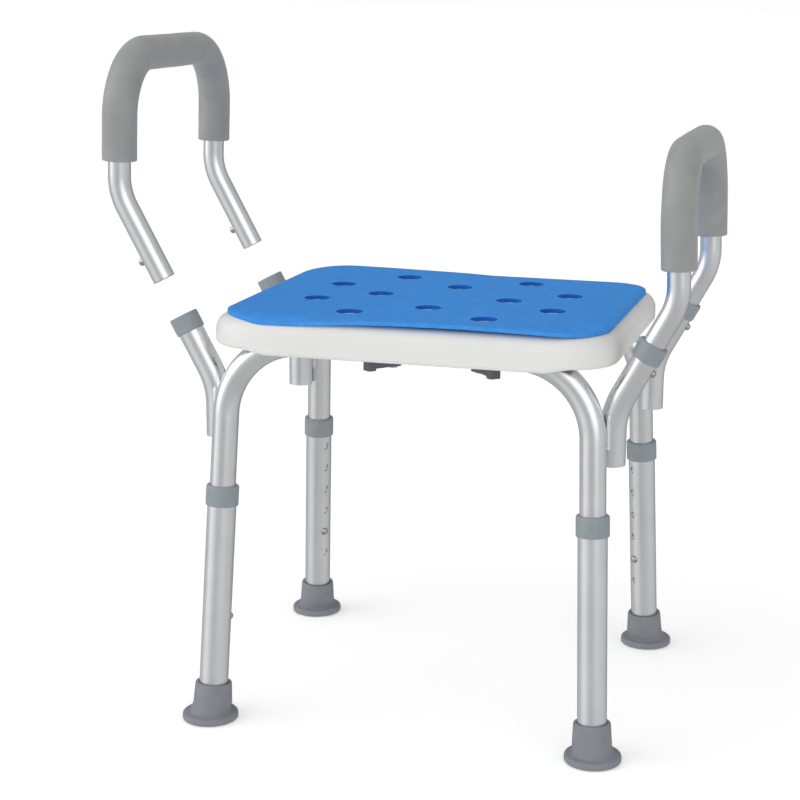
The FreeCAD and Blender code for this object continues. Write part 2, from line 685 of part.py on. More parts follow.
def make_latch(name, x, y, turn):
    """A hub with a flat arm that reaches under the frame tube, and a finger tab at its end."""
    body = new_body(name)
    hub = new_sketch(body, height=size("latch_low"))
    add_circle(hub, "Dim.latch_hub_dia / 2")
    pad(body, hub, "Dim.latch_high - Dim.latch_low")
    arm = new_sketch(body, height=size("latch_low"))
    half = size("latch_width") / 2
    length = size("latch_length")
    bevel = size("latch_bevel")
    tip = [(length - bevel, -half), (length, -half + bevel), (length, half - bevel), (length - bevel, half)]
    add_polygon(arm, [(0, -half)] + tip + [(0, half)])
    pad(body, arm, "Dim.latch_arm_high - Dim.latch_low")
    grip = new_sketch(body, height=size("latch_tab_low"))
    tab_start = length - size("latch_tab")
    add_polygon(grip, [(tab_start, -half)] + tip + [(tab_start, half)])
    pad(body, grip, f"Dim.latch_low + {OVERCUT} - Dim.latch_tab_low")
    bore = new_sketch(body, height=size("latch_low") - OVERCUT)
    add_circle(bore, "Dim.latch_bore / 2")
    pocket(body, bore, f"Dim.latch_high - Dim.latch_low + 2 * {OVERCUT}")
    body.Placement = FreeCAD.Placement(Vector(x, y, 0), FreeCAD.Rotation(Vector(0, 0, 1), turn))
    return body


def make_latch_screws():
    """Four pan-head screws, kept as separate solids in one group."""
    screws = []
    head_low = size("latch_low") - size("screw_head_thick")
    for number, (x, y) in enumerate(latch_places(), start=1):
        head = rod(f"screw_head_{number}", "Dim.screw_head_dia", "Dim.screw_head_thick",
                   FreeCAD.Placement(Vector(x, y, head_low), FreeCAD.Rotation()))
        shank = rod(f"screw_shank_{number}", "Dim.screw_dia", "Dim.screw_top - Dim.latch_low",
                    FreeCAD.Placement(Vector(x, y, size("latch_low")), FreeCAD.Rotation()))
        screw = doc.addObject("Part::Fuse", f"screw_{number}")
        screw.Base = head
        screw.Tool = shank
        screws.append(screw)
    group = doc.addObject("Part::Compound", "latch_screws")
    group.Links = screws
    group.Label = "latch_screws"
    return group


# ---------------------------------------------------------------- welds

def make_weld_beads():
    """Two beads in the crevice between each leg and its socket, trimmed to both tubes."""
    beads = []
    tubes = []
    for side in SIDES:
        for end in ENDS:
            name = f"{end}_{side}"
            axis = leg_axis(side, end)
            middle_height = (size("bead_low") + size("bead_high")) / 2
            leg_middle = foot_point(side, end) + axis * (middle_height / axis.z)
            reach, inset = SIDES[side] * size("socket_reach"), ENDS[end] * size("socket_inset")
            socket = Vector(reach, inset, middle_height)
            across = (socket - leg_middle).normalize()
            sideways = Vector(-across.y, across.x, 0)
            for sign in (-1, 1):
                centre = (socket + leg_middle) * 0.5 + sideways * sign * size("bead_offset")
                base = centre - Vector(0, 0, (size("bead_high") - size("bead_low")) / 2)
                place = FreeCAD.Placement(base, FreeCAD.Rotation())
                bead = f"{name}_bead_{'low' if sign < 0 else 'high'}"
                beads.append(rod(bead, "2 * Dim.bead_rad", "Dim.bead_high - Dim.bead_low", place))
            tubes.append(rod(f"{name}_leg_core", "Dim.tube_dia", "Dim.run_height", leg_placement(side, end)))
            socket_place = FreeCAD.Placement(Vector(reach, inset, 0), FreeCAD.Rotation())
            tubes.append(rod(f"{name}_socket_core", "Dim.tube_dia", "Dim.run_height", socket_place))
    group = doc.addObject("Part::Compound", "bead_group")
    group.Links = beads
    return cut("socket_weld_beads", group, tubes)


# ---------------------------------------------------------------- assembly

def make_all():
    parts = [make_seat(), make_pad()]
    parts += [make_frame_tube(end) for end in ENDS]
    for side in SIDES:
        for end in ENDS:
            corner = f"{end}_{side}"
            parts += [make_leg_tube(side, end), make_leg_collar(side, end), make_foot(side, end)]
            button_place = radial_placement(leg_placement(side, end), worth(BUTTON_HEIGHT))
            parts.append(make_button(f"{corner}_leg_button", "Dim.leg_button_dia", "Dim.leg_button_out",
                                     "Dim.leg_button_seat", button_place))
            parts.append(make_clip(f"{corner}_leg_clip", "Dim.leg_button_seat",
                                   "(Dim.tube_dia - 2 * Dim.tube_wall)", button_place))
            parts += [make_socket_tube(side, end), make_socket_collar(side, end)]
            arm_place = lifted(side, radial_placement(mouth_placement(side, end), -size("arm_hole_depth")))
            parts.append(make_button(f"{corner}_arm_button", "Dim.arm_button_dia", "Dim.arm_button_out",
                                     "Dim.arm_button_seat", arm_place))
            parts.append(make_clip(f"{corner}_arm_clip", "Dim.arm_button_seat",
                                   "(Dim.arm_dia - 2 * Dim.arm_wall)", arm_place))
        parts += [make_arm_tube(side), make_arm_grip(side)]
    turns = (180 + size("latch_turn_left"), -size("latch_turn_right"))
    names = ("front_left", "front_right", "rear_right", "rear_left")
    for index, (x, y) in enumerate(latch_places()):
        turn = turns[index % 2] + (180 if index > 1 else 0)
        parts.append(make_latch(f"{names[index]}_seat_latch", x, y, turn))
    parts += [make_latch_screws(), make_weld_beads()]
    return parts


def check_and_write(parts):
    doc.recompute()
    failed = [item.Label for item in doc.Objects if "Invalid" in item.State or "Error" in item.State]
    for part in parts:
        if part.Shape.isNull() or not part.Shape.isValid() or not part.Shape.Solids:
            failed.append(part.Label)
    if failed:
        raise RuntimeError(f"these objects failed: {failed}")
    os.makedirs("parts", exist_ok=True)
    for part in parts:
        part.Shape.exportStep(f"parts/{part.Label}.step")
        print(f"{part.Label}: {len(part.Shape.Solids)} solid(s), {part.Shape.Volume:.0f} mm3")


check_and_write(make_all())
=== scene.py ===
"""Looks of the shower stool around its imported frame: soft parts, feet, welds, materials, light and camera.

Metres, +Z up, +Y to the rear, +X to the stool's right-hand side as seen from the front.
"""

import json
import math

import bpy
import numpy as np
from mathutils import Matrix, Vector, noise
from mathutils.bvhtree import BVHTree
from mathutils.geometry import delaunay_2d_cdt


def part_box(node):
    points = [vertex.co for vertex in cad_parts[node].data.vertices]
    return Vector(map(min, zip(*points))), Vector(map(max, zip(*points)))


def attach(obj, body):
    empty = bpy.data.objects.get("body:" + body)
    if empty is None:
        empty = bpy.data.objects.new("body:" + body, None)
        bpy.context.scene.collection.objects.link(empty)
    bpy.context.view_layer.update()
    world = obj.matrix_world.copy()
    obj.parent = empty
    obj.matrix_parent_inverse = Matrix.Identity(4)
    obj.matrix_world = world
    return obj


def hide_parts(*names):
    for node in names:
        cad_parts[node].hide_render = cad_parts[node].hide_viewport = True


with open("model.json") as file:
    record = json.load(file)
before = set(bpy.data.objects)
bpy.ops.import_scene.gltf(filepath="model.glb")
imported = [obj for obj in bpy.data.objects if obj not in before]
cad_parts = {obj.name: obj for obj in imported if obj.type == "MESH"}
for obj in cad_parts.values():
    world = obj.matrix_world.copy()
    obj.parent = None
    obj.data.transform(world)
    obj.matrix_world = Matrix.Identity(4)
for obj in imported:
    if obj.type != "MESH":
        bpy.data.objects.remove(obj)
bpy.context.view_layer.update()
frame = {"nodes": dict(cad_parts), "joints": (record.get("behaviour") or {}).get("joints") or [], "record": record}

SIDES = {"left": -1, "right": 1}
ENDS = {"front": -1, "rear": 1}
TUBE_RADIUS = 0.0127
JOINTS = {joint["name"]: joint for joint in frame["joints"]}
MOUNTS = {mount["name"]: mount for mount in frame["record"]["mounts"]}


# ---------------------------------------------------------------- mesh helpers

def new_piece(name, vertices, faces, body, material):
    """A mesh object in the row frame that rides on a CAD body."""
    mesh = bpy.data.meshes.new(name)
    mesh.from_pydata([tuple(v) for v in vertices], [], faces)
    mesh.validate()
    mesh.update()
    mesh.shade_smooth()
    piece = bpy.data.objects.new(name, mesh)
    bpy.context.scene.collection.objects.link(piece)
    mesh.materials.append(material)
    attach(piece, body)
    return piece


def ring(centre, axis_u, axis_v, radius, count):
    """Points of a circle in the plane of two unit vectors."""
    turns = [2 * math.pi * i / count for i in range(count)]
    return [centre + (axis_u * math.cos(t) + axis_v * math.sin(t)) * radius for t in turns]


def skin(rings, closed_ends=True):
    """Faces that join successive rings of equal count, and close the two ends if asked."""
    count = len(rings[0])
    vertices = [point for one in rings for point in one]
    faces = []
    for step in range(len(rings) - 1):
        a = step * count
        b = a + count
        for i in range(count):
            j = (i + 1) % count
            faces.append((a + i, a + j, b + j, b + i))
    if closed_ends:
        faces.append(tuple(reversed(range(count))))
        last = (len(rings) - 1) * count
        faces.append(tuple(range(last, last + count)))
    return vertices, faces


def smoothstep(low, high, value):
    t = np.clip((np.asarray(value, float) - low) / (high - low), 0, 1)
    return t * t * (3 - 2 * t)


def arc_steps(start, end, count):
    return [start + (end - start) * i / count for i in range(count + 1)]


# ---------------------------------------------------------------- materials

class Look:
    """A procedural material: a Principled shader with colour, roughness and bump from object-space noise."""

    def __init__(self, name, colour, roughness, metallic=0.0):
        self.material = bpy.data.materials.new(name)
        self.material.use_nodes = True
        self.tree = self.material.node_tree
        self.shader = self.tree.nodes["Principled BSDF"]
        self.shader.inputs["Metallic"].default_value = metallic
        self.colour = colour
        self.roughness = roughness
        self.coordinates = self.tree.nodes.new("ShaderNodeTexCoord").outputs["Object"]
        self.height = None

    def link(self, output, target):
        self.tree.links.new(output, target)

    def stretched(self, scale):
        """Object coordinates scaled along each axis, so that a pattern runs along one of them."""
        mapping = self.tree.nodes.new("ShaderNodeMapping")
        mapping.inputs["Scale"].default_value = scale
        self.link(self.coordinates, mapping.inputs["Vector"])
        return mapping.outputs["Vector"]

    def noise(self, scale, detail=3.0, stretch=None, roughness=0.5):
        node = self.tree.nodes.new("ShaderNodeTexNoise")
        node.inputs["Scale"].default_value = scale
        node.inputs["Detail"].default_value = detail
        node.inputs["Roughness"].default_value = roughness
        self.link(self.stretched(stretch) if stretch else self.coordinates, node.inputs["Vector"])
        return node.outputs["Fac"]

    def grains(self, scale):
        """Cells of a Voronoi pattern, for pebbled or stippled surfaces."""
        node = self.tree.nodes.new("ShaderNodeTexVoronoi")
        node.inputs["Scale"].default_value = scale
        self.link(self.coordinates, node.inputs["Vector"])
        return node.outputs["Distance"]

    def spread(self, value, low, high, source=(0.3, 0.7)):
        """Maps a noise value onto a range."""
        node = self.tree.nodes.new("ShaderNodeMapRange")
        node.inputs["From Min"].default_value = source[0]
        node.inputs["From Max"].default_value = source[1]
        node.inputs["To Min"].default_value = low
        node.inputs["To Max"].default_value = high
        self.link(value, node.inputs["Value"])
        return node.outputs["Result"]

    def add(self, first, second):
        node = self.tree.nodes.new("ShaderNodeMath")
        self.link(first, node.inputs[0])
        self.link(second, node.inputs[1])
        return node.outputs[0]

    def colour_between(self, value, dark, light, source=(0.3, 0.7)):
        """Base colour between a darker and a lighter share of the material's colour."""
        ramp = self.tree.nodes.new("ShaderNodeMix")
        ramp.data_type = "RGBA"
        ramp.inputs["A"].default_value = [c * dark for c in self.colour] + [1]
        ramp.inputs["B"].default_value = [min(1, c * light) for c in self.colour] + [1]
        self.link(self.spread(value, 0, 1, source), ramp.inputs["Factor"])
        self.link(ramp.outputs["Result"], self.shader.inputs["Base Color"])

    def roughness_from(self, value, spread):
        low, high = self.roughness - spread, self.roughness + spread
        self.link(self.spread(value, low, high), self.shader.inputs["Roughness"])

    def relief(self, value, depth):
        """Adds a height to the surface, where depth is the height in metres for a value of 1."""
        bump = self.tree.nodes.new("ShaderNodeBump")
        bump.inputs["Strength"].default_value = 1.0
        bump.inputs["Distance"].default_value = depth
        self.link(value, bump.inputs["Height"])
        if self.height:
            self.link(self.height, bump.inputs["Normal"])
        self.height = bump.outputs["Normal"]
        self.link(self.height, self.shader.inputs["Normal"])

    def band(self, axis, place, width):
        """A value that is 1 on the plane where one coordinate equals place, and 0 beyond width."""
        split = self.tree.nodes.new("ShaderNodeSeparateXYZ")
        self.link(self.coordinates, split.inputs[0])
        away = self.tree.nodes.new("ShaderNodeMath")
        away.operation = "SUBTRACT"
        away.inputs[1].default_value = place
        self.link(split.outputs[axis], away.inputs[0])
        size = self.tree.nodes.new("ShaderNodeMath")
        size.operation = "ABSOLUTE"
        self.link(away.outputs[0], size.inputs[0])
        return self.spread(size.outputs[0], 1, 0, (0, width))


def aluminium(name, roughness, drawn):
    """Satin anodised tube; drawn tubes have faint die lines along Z."""
    look = Look(name, (0.800, 0.806, 0.832), roughness, metallic=1.0)
    stretch = (1, 1, 0.02) if drawn else None
    cloud = look.noise(35, 3)
    look.colour_between(cloud, 0.96, 1.03)
    look.roughness_from(look.noise(120, 4, stretch) if drawn else look.noise(40, 1), 0.02)
    look.relief(look.noise(900, 2, stretch), 0.00001 if drawn else 0.0000015)
    return look.material


PARTING_LINE_SHARE = 0.37


def seat_plastic():
    look = Look("seat_plastic", (0.690, 0.688, 0.668), 0.40)
    look.shader.inputs["Subsurface Weight"].default_value = 0.06
    look.shader.inputs["Subsurface Radius"].default_value = (0.006, 0.005, 0.004)
    look.colour_between(look.noise(18, 4), 0.975, 1.01)
    look.roughness_from(look.noise(60, 3), 0.05)
    low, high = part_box("seat")
    parting_height = low.z + PARTING_LINE_SHARE * (high.z - low.z)
    look.relief(look.band("Z", parting_height, 0.0006), 0.00012)
    look.relief(look.noise(45, 3), 0.0002)
    look.relief(look.noise(1500, 2), 0.00002)
    return look.material


def pad_foam():
    look = Look("pad_foam", (0.043, 0.260, 0.700), 0.85)
    look.shader.inputs["Specular IOR Level"].default_value = 0.25
    mottle = look.add(look.noise(70, 5, roughness=0.65), look.noise(900, 2))
    look.colour_between(mottle, 0.86, 1.10, (0.75, 1.25))
    look.roughness_from(look.noise(200, 3), 0.06)
    look.relief(look.noise(700, 3), 0.00010)
    look.relief(look.grains(1400), 0.00006)
    return look.material


def pad_hole_painted_shade():
    """The walls of the pad's holes, in a darker, deeper blue that is painted shade inside the holes."""
    look = Look("pad_hole_painted_shade", (0.016, 0.120, 0.520), 0.92)
    look.shader.inputs["Specular IOR Level"].default_value = 0.15
    look.colour_between(look.noise(400, 4), 0.85, 1.12)
    look.roughness_from(look.noise(600, 2), 0.05)
    look.relief(look.grains(1600), 0.00012)
    return look.material


def grip_foam():
    look = Look("grip_foam", (0.262, 0.273, 0.271), 0.44)
    look.shader.inputs["Sheen Weight"].default_value = 0.2
    look.shader.inputs["Sheen Roughness"].default_value = 0.45
    look.colour_between(look.noise(45, 4), 0.92, 1.06)
    look.roughness_from(look.noise(150, 3), 0.05)
    look.relief(look.noise(1100, 3), 0.00007)
    look.relief(look.grains(1800), 0.00004)
    return look.material


def moulded(name, colour, roughness, grain):
    """Grey moulded plastic or rubber with a fine spark-eroded texture."""
    look = Look(name, colour, roughness)
    look.colour_between(look.noise(90, 4), 0.93, 1.06)
    look.roughness_from(look.noise(220, 3), 0.06)
    look.relief(look.noise(grain, 2), 0.00004)
    look.relief(look.noise(60, 3), 0.00012)
    return look.material


def bright_metal(name, colour, roughness, scratch):
    look = Look(name, colour, roughness, metallic=1.0)
    look.colour_between(look.noise(300, 3), 0.93, 1.04)
    look.roughness_from(look.noise(500, 3, (1, 1, 0.1)), roughness * 0.3)
    look.relief(look.noise(1800, 2), scratch)
    return look.material


MATERIALS = {
    "seat_plastic": seat_plastic(),
    "pad_foam": pad_foam(),
    # Painted shade: a darker blue for the walls of the pad's holes.
    "pad_hole_painted_shade": pad_hole_painted_shade(),
    "grip_foam": grip_foam(),
    "collar_plastic": moulded("collar_plastic", (0.232, 0.265, 0.290), 0.40, 1400),
    "foot_rubber": moulded("foot_rubber", (0.195, 0.210, 0.234), 0.56, 1100),
    "latch_plastic": moulded("latch_plastic", (0.095, 0.110, 0.122), 0.42, 1600),
    "button_nickel": bright_metal("button_nickel", (0.50, 0.47, 0.42), 0.12, 0.000004),
    "spring_steel": bright_metal("spring_steel", (0.56, 0.57, 0.60), 0.28, 0.00001),
    "screw_steel": bright_metal("screw_steel", (0.66, 0.66, 0.67), 0.24, 0.00001),
    "tube_aluminium": aluminium("tube_aluminium", 0.27, drawn=False),
    "leg_aluminium": aluminium("leg_aluminium", 0.34, drawn=True),
    "weld_aluminium": bright_metal("weld_aluminium", (0.82, 0.82, 0.83), 0.42, 0.00006),
}


def paint_frame():
    """Gives each CAD node the finish of its material slot; straight leg tubes get the drawn finish."""
    for part in frame["record"]["subparts"]:
        name = "leg_aluminium" if part["node"].endswith("_leg_tube") else part["material_slot"]
        mesh = frame["nodes"][part["node"]].data
        mesh.materials.clear()
        mesh.materials.append(MATERIALS[name])


# ---------------------------------------------------------------- seat pad

PAD_CORNER = 0.052
PAD_HOLE_RADIUS = 0.0127
PAD_EDGE_ROUND = 0.0006
PAD_GRID = 0.004
# Distances of the twelve drain holes from the pad's centre, along X and Y.
HOLE_PLACES = (
    [(sx * 0.0673, sy * 0.1077) for sx in (-1, 1) for sy in (-1, 1)]
    + [(0, sy * 0.0637) for sy in (-1, 1)]
    + [(sx * 0.1216, sy * 0.0445) for sx in (-1, 1) for sy in (-1, 1)]
    + [(sx * 0.0673, 0) for sx in (-1, 1)]
)
PAD_REST_GAP = 0.0001
PAD_HOLE_TURNS = 48
END_FALL = 0.0030
END_FALL_LENGTH = 0.034
FRONT_LIFT_START = 0.112
REAR_LIFT_START = 0.050
PAD_WAVE_HEIGHT = 0.0004
PAD_WAVE_SCALE = 14
# Heights of the pad's front and rear edges over the seat's flat top, at places along X.
FRONT_LIFT_PLACES = (-0.192, -0.130, -0.100, -0.070, -0.040, 0.0, 0.050, 0.100, 0.150, 0.192)
FRONT_LIFT = (-0.0034, -0.0046, -0.0036, -0.0010, 0.0011, 0.0020, 0.0028, 0.0020, 0.0006, -0.0018)
REAR_LIFT_PLACES = (-0.192, -0.160, -0.110, -0.064, -0.030, 0.0, 0.032, 0.066, 0.085, 0.110, 0.146, 0.192)
REAR_LIFT = (0.0002, 0.0017, 0.0012, 0.0005, -0.0001, -0.0010, -0.0026, -0.0038, -0.0053, -0.0060, -0.0066,
             -0.0062)
EASING_STEPS = (-0.014, -0.007, 0.0, 0.007, 0.014)


def rounded_outline(half_x, half_y, corner, per_corner=14, per_side=40):
    """Points of a rounded rectangle, counter-clockwise from its front left corner's end."""
    points = []
    centres = [(half_x - corner, -half_y + corner), (half_x - corner, half_y - corner),
               (-half_x + corner, half_y - corner), (-half_x + corner, -half_y + corner)]
    for quarter, (cx, cy) in enumerate(centres):
        first = math.pi / 2 * (quarter - 1)
        for turn in arc_steps(first, first + math.pi / 2, per_corner):
            points.append((cx + corner * math.cos(turn), cy + corner * math.sin(turn)))
        nx, ny = centres[(quarter + 1) % 4]
        last = first + math.pi / 2
        start = (cx + corner * math.cos(last), cy + corner * math.sin(last))
        end = (nx + corner * math.cos(last), ny + corner * math.sin(last))
        for step in range(1, per_side):
            share = step / per_side
            points.append((start[0] + (end[0] - start[0]) * share, start[1] + (end[1] - start[1]) * share))
    return points


def eased(x, places, heights):
    """A smooth curve through heights at rising places."""
    return float(np.mean(np.interp([x + step for step in EASING_STEPS], places, heights)))


def pad_lift(x, y, half_x, half_y):
    """Height of the foam sheet's underside over the seat's flat top, before it comes to rest on the seat."""
    front = float(smoothstep(FRONT_LIFT_START, half_y, -y))
    rear = float(smoothstep(REAR_LIFT_START, half_y, y))
    end = float(smoothstep(half_x - END_FALL_LENGTH, half_x, abs(x)))
    lift = eased(x, FRONT_LIFT_PLACES, FRONT_LIFT) * front + eased(x, REAR_LIFT_PLACES, REAR_LIFT) * rear
    lift -= END_FALL * end * (1 - front) * (1 - rear)
    wave = noise.noise(Vector((x * PAD_WAVE_SCALE, y * PAD_WAVE_SCALE, 3.7)))
    return lift + PAD_WAVE_HEIGHT * wave


class SeatTop:
    """Heights of the seat's top surface, found by rays from above."""

    def __init__(self):
        seat = frame["nodes"]["seat"]
        self.tree = BVHTree.FromObject(seat, bpy.context.evaluated_depsgraph_get())
        self.to_seat = seat.matrix_world.inverted()
        self.from_seat = seat.matrix_world
        self.low, self.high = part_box("seat")

    def height(self, x, y):
        """The surface height under a place, or the seat's underside where there is no seat."""
        above = self.to_seat @ Vector((x, y, self.high.z + 0.01))
        down = self.to_seat.to_3x3() @ Vector((0, 0, -1))
        place = self.tree.ray_cast(above, down)[0]
        return (self.from_seat @ place).z if place else self.low.z


def make_pad():
    low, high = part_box("seat_pad")
    half_x, half_y = high.x, high.y
    thickness = high.z - low.z
    edge = PAD_EDGE_ROUND
    # Each step of the rim's profile is (inset from the cut edge, height above the underside).
    turns = arc_steps(0, math.pi / 2, 4)
    profile = [(edge * (1 - math.cos(t)), thickness - edge * (1 - math.sin(t))) for t in reversed(turns)]
    profile += [(edge * (1 - math.cos(t)), edge * (1 - math.sin(t))) for t in turns]

    def loops(inset):
        outer = rounded_outline(half_x - inset, half_y - inset, PAD_CORNER - inset)
        holes = []
        for hx, hy in HOLE_PLACES:
            radius = PAD_HOLE_RADIUS + inset
            circle = [2 * math.pi * i / PAD_HOLE_TURNS for i in range(PAD_HOLE_TURNS)]
            holes.append([(hx + radius * math.cos(t), hy - radius * math.sin(t)) for t in circle])
        return [outer] + holes

    rim = loops(edge)
    sizes = [len(loop) for loop in rim]
    starts = np.cumsum([0] + sizes)
    points = [p for loop in rim for p in loop]
    edges = []
    for start, size in zip(starts, sizes):
        edges += [(start + i, start + (i + 1) % size) for i in range(size)]
    rim_count = len(points)

    def is_inside(x, y):
        """True for a grid point well inside the cut outline and clear of the holes."""
        dx = max(abs(x) - (half_x - PAD_CORNER), 0)
        dy = max(abs(y) - (half_y - PAD_CORNER), 0)
        if math.hypot(dx, dy) > PAD_CORNER - edge - PAD_GRID * 0.5:
            return False
        clear = PAD_HOLE_RADIUS + edge + PAD_GRID * 0.4
        return all(math.hypot(x - hx, y - hy) > clear for hx, hy in HOLE_PLACES)

    for gx in np.arange(-half_x, half_x, PAD_GRID):
        for gy in np.arange(-half_y, half_y, PAD_GRID):
            if is_inside(gx, gy):
                points.append((float(gx), float(gy)))
    flat, _, triangles, *_ = delaunay_2d_cdt([Vector(p) for p in points], edges, [], 0, 1e-7)
    flat = [(p.x, p.y) for p in flat]
    kept = [t for t in triangles if in_sheet(flat, t, half_x, half_y, edge)]

    seat_top = SeatTop()

    def lifted(x, y, z):
        """A point of the sheet, which rests on the seat wherever its own fall would take it lower."""
        rest = seat_top.height(x, y) + PAD_REST_GAP
        return Vector((x, y, z + max(low.z + pad_lift(x, y, half_x, half_y), rest)))

    count = len(flat)
    vertices = [lifted(x, y, thickness) for x, y in flat] + [lifted(x, y, 0) for x, y in flat]
    faces = [tuple(t) for t in kept] + [tuple(count + i for i in reversed(t)) for t in kept]
    bands = [list(range(rim_count))]
    for inset, z in profile[1:-1]:
        first = len(vertices)
        vertices += [lifted(x, y, z) for loop in loops(inset) for x, y in loop]
        bands.append(list(range(first, first + rim_count)))
    bands.append(list(range(count, count + rim_count)))
    hole_walls = []
    for upper, lower in zip(bands, bands[1:]):
        for start, size in zip(starts, sizes):
            for i in range(size):
                a, b = start + i, start + (i + 1) % size
                if start > 0:
                    hole_walls.append(len(faces))
                faces.append((upper[a], lower[a], lower[b], upper[b]))
    pad = new_piece("seat_pad_sheet", vertices, faces, "stool", MATERIALS["pad_foam"])
    # The hole walls take the darker blue, which is painted shade inside the holes.
    pad.data.materials.append(MATERIALS["pad_hole_painted_shade"])
    for index in hole_walls:
        pad.data.polygons[index].material_index = 1
    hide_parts("seat_pad")


def in_sheet(flat, triangle, half_x, half_y, edge):
    """True if a triangle's middle lies on the sheet and not in a hole or outside a corner."""
    x = sum(flat[i][0] for i in triangle) / 3
    y = sum(flat[i][1] for i in triangle) / 3
    dx = max(abs(x) - (half_x - PAD_CORNER), 0)
    dy = max(abs(y) - (half_y - PAD_CORNER), 0)
    if math.hypot(dx, dy) > PAD_CORNER - edge:
        return False
    return all(math.hypot(x - hx, y - hy) > (PAD_HOLE_RADIUS + edge) * 0.995 for hx, hy in HOLE_PLACES)


# ---------------------------------------------------------------- foam grips

GRIP_RADIUS = 0.017
GRIP_BORE = 0.0112
GRIP_CORNER = 0.060
GRIP_LEAN = math.radians(2)
GRIP_STEP = 0.0008
WRINKLE_LENGTH = 0.0032
WRINKLE_DEPTH = 0.00055
GRIP_TURNS = 88
GRIP_END_ROUND = 0.0016
GRIP_BORE_DEPTH = 0.012
GRIP_UNEVENNESS = 0.00035
GRIP_SEEDS = {"left": 11.0, "right": 23.0}


def grip_path(side):
    """Stops along a grip as (centre, tangent, direction of the bend's inside, wrinkle weight, length)."""
    sx = SIDES[side]
    low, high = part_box(f"{side}_arm_grip")
    outer_x = high.x if sx > 0 else low.x
    inner_x = low.x if sx > 0 else high.x
    half_y = high.y - GRIP_RADIUS
    low_end = Vector((outer_x - sx * GRIP_RADIUS * math.cos(GRIP_LEAN), 0,
                      low.z + GRIP_RADIUS * math.sin(GRIP_LEAN)))
    top = Vector((inner_x + sx * GRIP_RADIUS, 0, high.z - GRIP_RADIUS))
    up = (top - low_end).normalized()
    rise = (top - low_end).length
    along = Vector((0, 1, 0))
    upright = rise - GRIP_CORNER
    bar = 2 * (half_y - GRIP_CORNER)
    quarter = GRIP_CORNER * math.pi / 2
    total = 2 * upright + 2 * quarter + bar
    count = int(total / GRIP_STEP)
    path = []
    for step in range(count + 1):
        s = total * step / count
        mirror = s > total / 2
        d = total - s if mirror else s
        if d < upright:
            place, tangent, inside = (-half_y, d), (0, 1), (1, 0)
        elif d < upright + quarter:
            turn = (d - upright) / GRIP_CORNER
            place = (-half_y + GRIP_CORNER * (1 - math.cos(turn)), upright + GRIP_CORNER * math.sin(turn))
            tangent = (math.sin(turn), math.cos(turn))
            inside = (math.cos(turn), -math.sin(turn))
        else:
            place, tangent, inside = (-half_y + GRIP_CORNER + d - upright - quarter, rise), (1, 0), (0, -1)
        if mirror:
            place, tangent, inside = (-place[0], place[1]), (tangent[0], -tangent[1]), (-inside[0], inside[1])
        weight = float(smoothstep(upright - 0.028, upright + 0.006, d)
                       * (1 - smoothstep(upright + quarter * 0.62, upright + quarter, d)))
        centre = low_end + along * place[0] + up * place[1]
        path.append((centre, along * tangent[0] + up * tangent[1], along * inside[0] + up * inside[1],
                     weight, s))
    return path, total


def make_grip(side):
    path, total = grip_path(side)
    seed = GRIP_SEEDS[side]
    rings = []
    round_edge = GRIP_END_ROUND
    first, last = path[0], path[-1]
    # The bore shows a little way in at each end.
    for depth in (GRIP_BORE_DEPTH, 0.0):
        rings.append(grip_ring(first, GRIP_BORE, depth, seed, 0))
    for turn in arc_steps(0, math.pi / 2, 4):
        radius = GRIP_RADIUS - round_edge * (1 - math.sin(turn))
        rings.append(grip_ring(first, radius, round_edge * (1 - math.cos(turn)), seed, 0))
    for stop in path:
        if round_edge * 1.2 < stop[4] < total - round_edge * 1.2:
            rings.append(grip_ring(stop, GRIP_RADIUS, 0, seed, stop[3]))
    for turn in reversed(arc_steps(0, math.pi / 2, 4)):
        radius = GRIP_RADIUS - round_edge * (1 - math.sin(turn))
        rings.append(grip_ring(last, radius, -round_edge * (1 - math.cos(turn)), seed, 0))
    for depth in (0.0, GRIP_BORE_DEPTH):
        rings.append(grip_ring(last, GRIP_BORE, -depth, seed, 0))
    vertices, faces = skin(rings, closed_ends=False)
    count = len(rings[0])
    back = (len(rings) - 1) * count
    # A sleeve inside joins the two bore ends, so that the foam is one closed solid.
    inner = [grip_ring(stop, GRIP_BORE, 0, seed, 0, plain=True) for stop in path[16:-16:12]]
    start = len(vertices)
    vertices += [point for one in inner for point in one]
    bands = [0] + [start + i * count for i in range(len(inner))] + [back]
    for a, b in zip(bands, bands[1:]):
        for i in range(count):
            j = (i + 1) % count
            faces.append((a + j, a + i, b + i, b + j))
    grip = new_piece(f"{side}_foam_grip", vertices, faces, f"{side}_armrest",
                     MATERIALS["grip_foam"])
    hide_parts(f"{side}_arm_grip")


def grip_ring(stop, radius, shift, seed, weight, plain=False):
    """One ring of the sleeve, with fine wrinkles pressed into the inside of a bend."""
    centre, tangent, inside, _, s = stop
    across = tangent.cross(inside).normalized()
    centre = centre + tangent * shift
    points = []
    for i in range(GRIP_TURNS):
        turn = 2 * math.pi * i / GRIP_TURNS
        out = inside * math.cos(turn) + across * math.sin(turn)
        r = radius
        if not plain and radius > GRIP_BORE:
            place = centre + out * radius
            r += GRIP_UNEVENNESS * noise.noise(place * 28 + Vector((seed, 0, 0)))
            facing = float(smoothstep(0.05, 0.75, math.cos(turn)))
            if weight > 0 and facing > 0:
                drift = 2.2 * noise.noise(place * 90 + Vector((seed, 5, 0)))
                phase = 2 * math.pi * s / WRINKLE_LENGTH + drift * 2.4
                fold = math.cos(phase + 1.1 * math.sin(turn * 3 + seed))
                patch = 0.55 + 0.9 * noise.noise(place * 60 + Vector((0, seed, 2)))
                r -= WRINKLE_DEPTH * weight * facing * max(patch, 0) * (0.5 + 0.5 * fold) ** 3
        points.append(centre + out * r)
    return points


# ---------------------------------------------------------------- feet

FOOT_TURNS = 72
